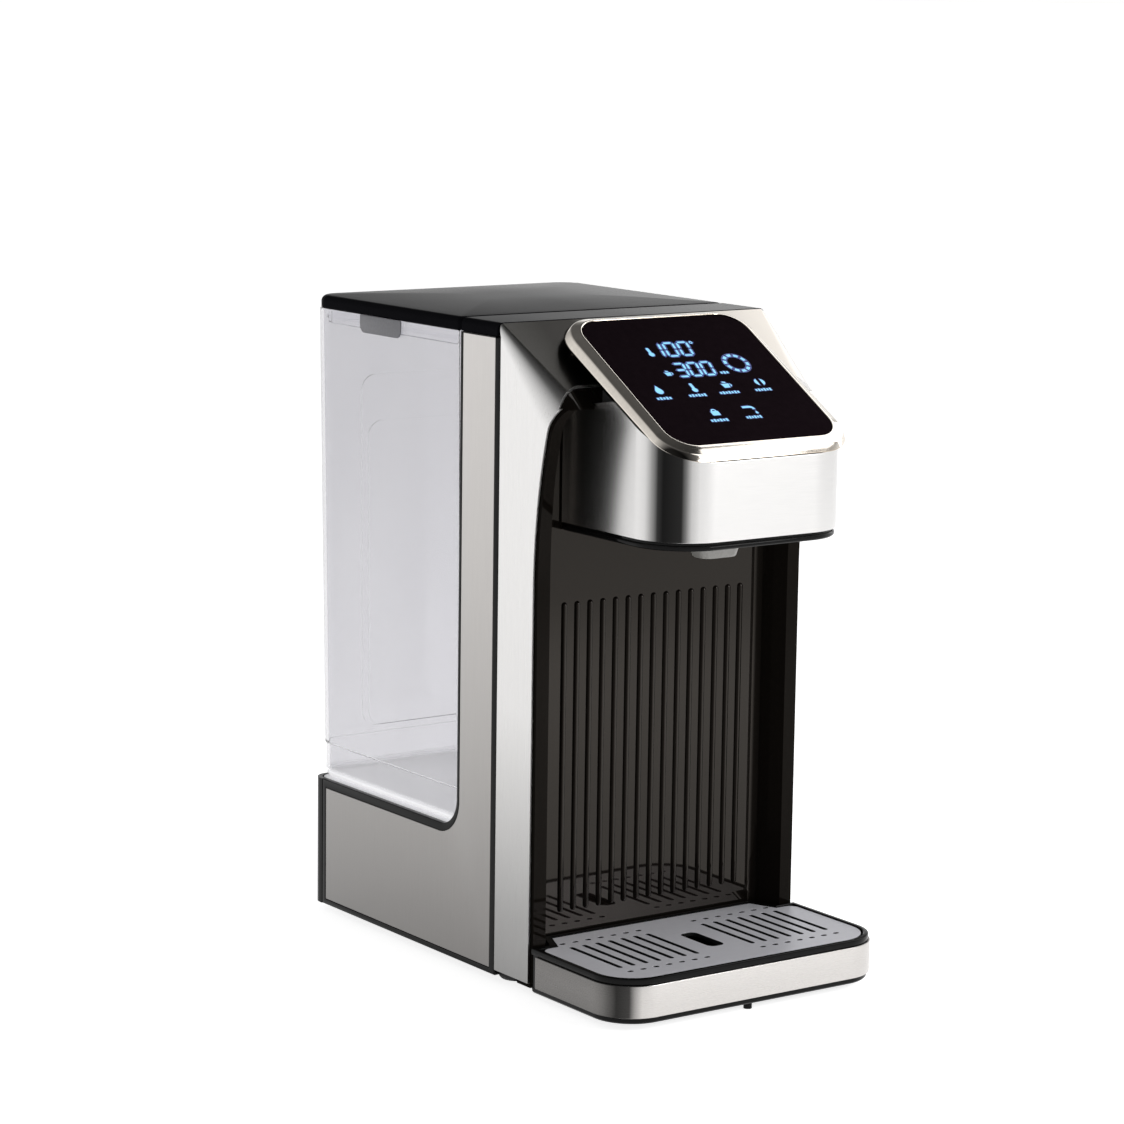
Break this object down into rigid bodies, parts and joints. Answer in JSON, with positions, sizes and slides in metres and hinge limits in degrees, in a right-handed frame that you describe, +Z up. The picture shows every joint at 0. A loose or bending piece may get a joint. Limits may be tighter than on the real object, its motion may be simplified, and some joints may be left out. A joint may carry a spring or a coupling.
{
  "type": "countertop hot water dispenser",
  "caption": "Countertop hot water dispenser with a lift-off clear tank, steel arch body, projecting touch-panel head and pull-out drip tray.",
  "frame": {"origin": "centre of the outline on the surface it stands on", "axes": "+Z up, front (head and tray) towards -Y"},
  "size_m": [0.1554, 0.2666, 0.3115],
  "materials": {
    "steel": "vertical brushed stainless steel",
    "chrome": "polished chrome",
    "gloss_black": "glossy black plastic",
    "body_plastic": "satin black plastic",
    "grey_plastic": "grey plastic",
    "white_plastic": "natural white plastic",
    "clear_tank": "clear plastic with a faint smoky tint",
    "black_glass": "black touch glass",
    "rubber": "black rubber",
    "silicone": "translucent silicone",
    "circuit_board": "green circuit board",
    "bright_steel": "satin bright steel"
  },
  "bodies": {
    "body": {"base_pan": "body_plastic", "foot_front_left": "rubber", "foot_front_right": "rubber", "foot_rear_left": "rubber", "foot_rear_right": "rubber", "foot_screw_front_left": "bright_steel", "foot_screw_front_right": "bright_steel", "foot_screw_rear_left": "bright_steel", "foot_screw_rear_right": "bright_steel", "side_carrier_left": "gloss_black", "side_carrier_right": "gloss_black", "side_panel_left": "steel", "side_panel_right": "steel", "rear_cover": "body_plastic", "power_gland": "body_plastic", "front_frame": "steel", "bay_liner": "gloss_black", "top_cover": "gloss_black", "partition_wall": "body_plastic", "tank_shelf": "body_plastic", "tank_socket": "white_plastic", "head_band": "steel", "head_core": "body_plastic", "head_base": "gloss_black", "bezel": "chrome", "glass_panel": "black_glass", "display_module": "white_plastic", "display_board": "circuit_board", "nozzle": "grey_plastic", "pump_cover": "white_plastic", "pump_housing": "white_plastic", "pump_motor": "bright_steel", "pump_cradle": "rubber", "heater_tube": "bright_steel", "heater_cap_lower": "body_plastic", "heater_cap_upper": "body_plastic", "heater_clamp": "bright_steel", "thermal_cutoff": "body_plastic", "hose_feed": "silicone", "hose_riser": "silicone", "hose_outlet": "silicone", "control_board": "circuit_board"},
    "tank": {"tank_body": "clear_tank", "valve_housing": "grey_plastic", "valve_seal": "rubber", "strainer": "white_plastic", "valve_spring": "bright_steel"},
    "tank_plunger": {"valve_plunger": "white_plastic"},
    "lid": {"tank_lid": "gloss_black", "lid_gasket": "silicone", "lid_tab_left": "grey_plastic", "lid_tab_right": "grey_plastic"},
    "tray": {"drip_tray_body": "gloss_black", "tray_band": "steel"},
    "grate": {"tray_grate": "bright_steel"},
    "impeller": {"pump_impeller": "white_plastic"}
  },
  "joints": [
    {"name": "tank_lift", "type": "slide", "parent": "body", "child": "tank", "axis": [0, 0, 1], "range_m": [0, 0.1]},
    {"name": "lid_lift", "type": "slide", "parent": "tank", "child": "lid", "axis": [0, 0, 1], "range_m": [0, 0.08]},
    {"name": "valve_travel", "type": "slide", "parent": "tank", "child": "tank_plunger", "axis": [0, 0, 1], "range_m": [0, 0.0033], "stiffness_N_per_m": 120, "springref_m": -0.0035, "deforming": ["valve_spring"]},
    {"name": "tray_slide", "type": "slide", "parent": "body", "child": "tray", "axis": [0, -1, 0], "range_m": [0, 0.09]},
    {"name": "grate_lift", "type": "slide", "parent": "tray", "child": "grate", "axis": [0, 0, 1], "range_m": [0, 0.04]},
    {"name": "impeller_spin", "type": "hinge", "parent": "body", "child": "impeller", "pos_m": [0, 0.066, 0.029], "axis": [0, 1, 0], "continuous": true}
  ]
}
